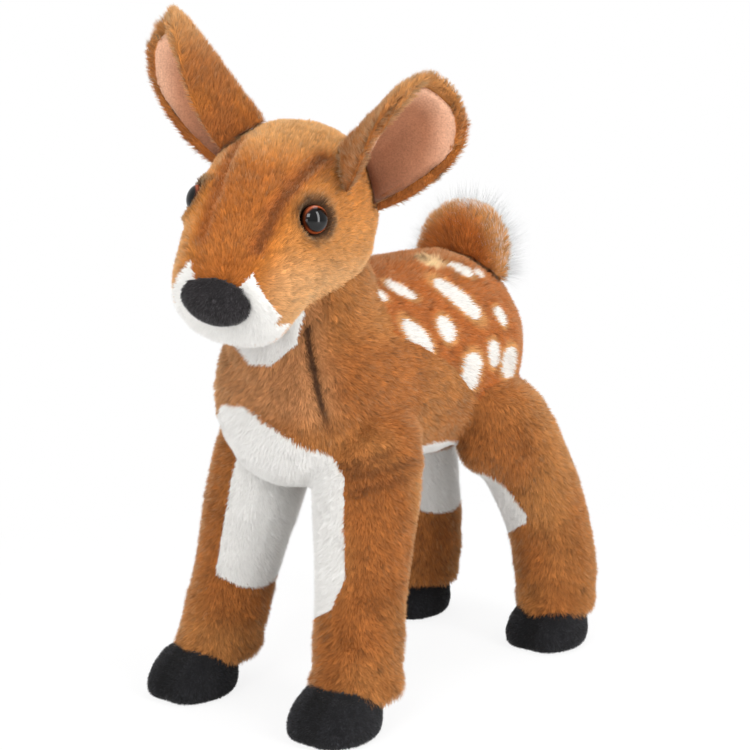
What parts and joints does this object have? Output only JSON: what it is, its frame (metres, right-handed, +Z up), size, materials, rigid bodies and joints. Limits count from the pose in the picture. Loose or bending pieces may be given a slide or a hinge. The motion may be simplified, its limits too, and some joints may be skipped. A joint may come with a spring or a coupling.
{
  "type": "plush deer",
  "caption": "Standing plush fawn with a spotted back, black hooves and nose, glossy eyes, wide upright ears and its head turned a little to its left.",
  "frame": {"origin": "middle of the bounding box, on the ground that the four hooves stand on", "axes": "+Z up, -Y the way the body faces, +X to the fawn's left"},
  "size_m": [0.1664, 0.2962, 0.372],
  "materials": {
    "brown_plush": "long-pile plush, brown",
    "golden_plush": "long-pile plush, golden brown",
    "saddle_plush": "long-pile plush, orange-brown with white spots",
    "white_plush": "long-pile plush, white",
    "black_plush": "short-pile plush, black",
    "lining_suede": "suede-like cloth, pinkish tan",
    "eye_plastic": "glossy",
    "washer_plastic": "moulded, matt"
  },
  "bodies": {
    "root": {"torso": "brown_plush", "saddle": "saddle_plush", "chest_patch": "white_plush", "belly_panel": "white_plush", "neck": "brown_plush", "throat_patch": "white_plush", "head": "golden_plush", "muzzle": "white_plush", "nose": "black_plush", "eye_left": "eye_plastic", "eye_right": "eye_plastic", "eye_washer_left": "washer_plastic", "eye_washer_right": "washer_plastic", "ear_back_left": "brown_plush", "ear_back_right": "brown_plush", "ear_lining_left": "lining_suede", "ear_lining_right": "lining_suede", "front_leg_left": "brown_plush", "front_leg_right": "brown_plush", "front_leg_panel_left": "white_plush", "front_leg_panel_right": "white_plush", "front_hoof_left": "black_plush", "front_hoof_right": "black_plush", "rear_leg_left": "brown_plush", "rear_leg_right": "brown_plush", "rear_leg_panel_left": "white_plush", "rear_leg_panel_right": "white_plush", "rear_hoof_left": "black_plush", "rear_hoof_right": "black_plush", "tail_front": "brown_plush", "tail_back": "white_plush"}
  },
  "joints": []
}
